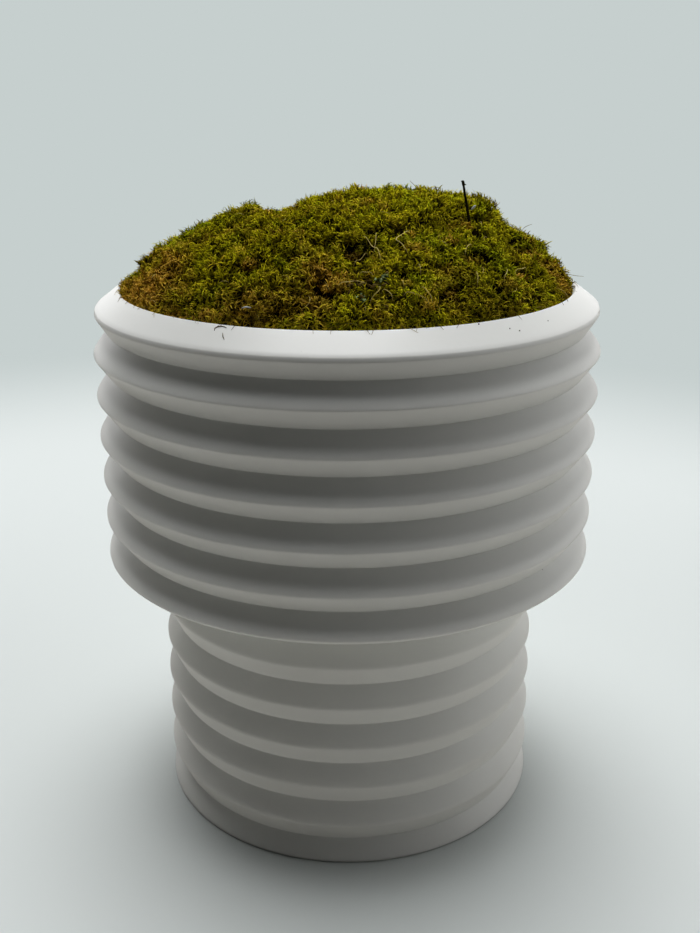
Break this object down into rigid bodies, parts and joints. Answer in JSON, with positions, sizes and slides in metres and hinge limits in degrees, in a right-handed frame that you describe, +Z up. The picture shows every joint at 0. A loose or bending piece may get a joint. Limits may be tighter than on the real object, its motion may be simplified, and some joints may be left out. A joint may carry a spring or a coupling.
{
  "type": "moss clump in a ribbed pot",
  "caption": "Mounded cushions of green moss on a bed of soil, filling a white pot with ribbed sides and a narrower lower tier.",
  "frame": {"origin": "middle of the pot's flat foot, on the surface that the pot stands on", "axes": "+Z up, along the pot's axis; -Y towards the side that the picture shows, +X to that side's right"},
  "size_m": [0.25, 0.25, 0.3204],
  "materials": {
    "pot": "white satin glaze",
    "soil": "dry potting soil",
    "moss": "soft, dense moss shoots",
    "twig": "dry dark bark"
  },
  "bodies": {
    "root": {"pot_upper_tier": "pot", "pot_lower_tier": "pot", "soil": "soil", "moss_cushion_left": "moss", "moss_cushion_back": "moss", "moss_cushion_right": "moss", "twig": "twig"}
  },
  "joints": []
}
